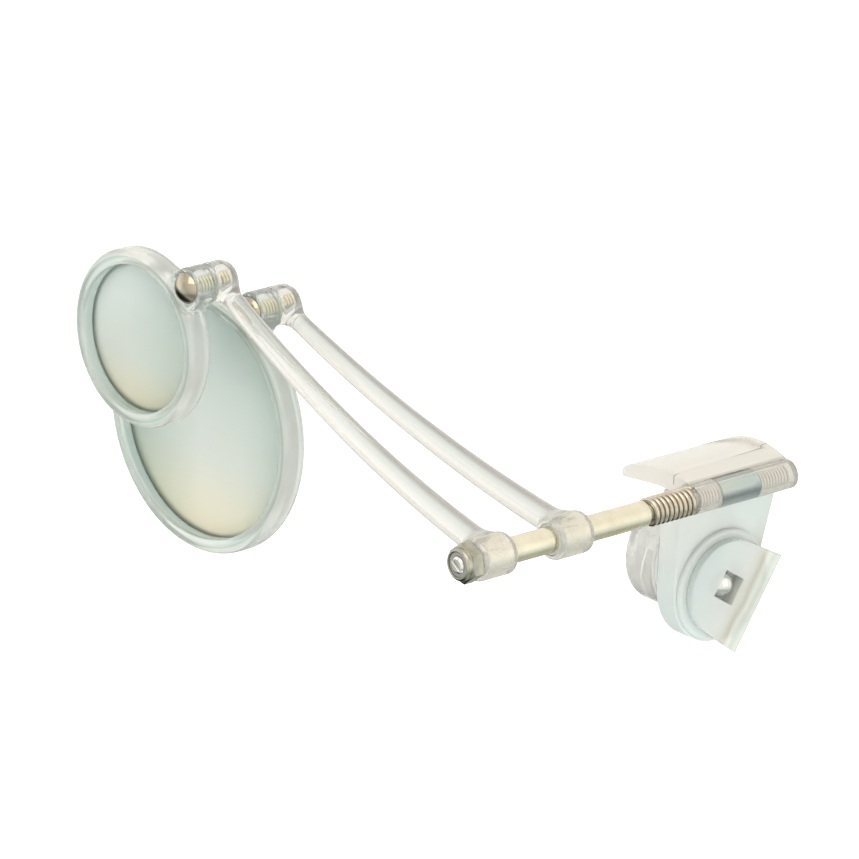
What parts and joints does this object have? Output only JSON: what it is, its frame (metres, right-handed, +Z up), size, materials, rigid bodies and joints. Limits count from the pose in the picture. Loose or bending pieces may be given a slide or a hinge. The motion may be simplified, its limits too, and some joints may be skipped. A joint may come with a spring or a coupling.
{
  "type": "clip on eyeglass loupe",
  "caption": "Sprung clip for a spectacle temple, with a shaft that carries swinging arms, each with a round magnifying lens.",
  "frame": {"origin": "middle of the gap that grips the spectacle temple", "axes": "+Y runs back along the temple, -Y to the front, +X points away from the nose, +Z up"},
  "size_m": [0.0699, 0.0491, 0.0389],
  "materials": {
    "clear_plastic": "clear moulded plastic, glossy",
    "frosted_plastic": "frosted moulded plastic",
    "lens_plastic": "polished optical lens",
    "plated_steel": "plated, satin",
    "spring_steel": "drawn spring wire",
    "nut_steel": "plated, turned",
    "polished_steel": "polished",
    "washer_steel": "stamped",
    "nylon": "natural nylon",
    "dark_nylon": "dark nylon"
  },
  "bodies": {
    "clip": {"clip_plate": "frosted_plastic", "shaft": "plated_steel", "end_nut": "nut_steel", "nut_insert": "dark_nylon", "jaw_spring": "spring_steel"},
    "jaw": {"top_jaw": "clear_plastic"},
    "cam": {"cam_knob": "clear_plastic", "cam_screw": "polished_steel", "cam_nut": "nut_steel", "support_cam": "clear_plastic", "cam_washer": "washer_steel"},
    "front_slider": {"front_liner": "nylon"},
    "front_swing_arm": {"front_arm": "clear_plastic", "small_pivot_screw": "polished_steel", "small_pivot_washer": "nylon"},
    "small_loupe": {"small_lens_rim": "clear_plastic", "small_lens": "lens_plastic"},
    "rear_slider": {"rear_liner": "nylon"},
    "rear_swing_arm": {"rear_arm": "clear_plastic", "large_pivot_screw": "polished_steel", "large_pivot_washer": "nylon"},
    "large_loupe": {"large_lens_rim": "clear_plastic", "large_lens": "lens_plastic"}
  },
  "joints": [
    {"name": "jaw_open", "type": "hinge", "parent": "clip", "child": "jaw", "pos_m": [0.0069, 0, 0.0016], "axis": [0, 1, 0], "range_deg": [0, 45], "stiffness_Nm_per_rad": 0.008, "springref_deg": -28.65, "deforming": ["jaw_spring"]},
    {"name": "cam_turn", "type": "hinge", "parent": "clip", "child": "cam", "pos_m": [0.0023, -0.0003, -0.0099], "axis": [1, 0, 0], "continuous": true},
    {"name": "front_slide", "type": "slide", "parent": "clip", "child": "front_slider", "axis": [0, 1, 0], "range_m": [0, 0.0059]},
    {"name": "front_swing", "type": "hinge", "parent": "front_slider", "child": "front_swing_arm", "pos_m": [0.0069, -0.03585, 0.0016], "axis": [0, 1, 0], "continuous": true},
    {"name": "small_lens_turn", "type": "hinge", "parent": "front_swing_arm", "child": "small_loupe", "pos_m": [-0.03668, -0.03585, 0.01919], "axis": [0, 1, 0], "continuous": true},
    {"name": "rear_slide", "type": "slide", "parent": "clip", "child": "rear_slider", "axis": [0, 1, 0], "range_m": [-0.0059, 0.0086]},
    {"name": "rear_swing", "type": "hinge", "parent": "rear_slider", "child": "rear_swing_arm", "pos_m": [0.0069, -0.02505, 0.0016], "axis": [0, 1, 0], "continuous": true},
    {"name": "large_lens_turn", "type": "hinge", "parent": "rear_swing_arm", "child": "large_loupe", "pos_m": [-0.0385, -0.02505, 0.01376], "axis": [0, 1, 0], "continuous": true}
  ]
}
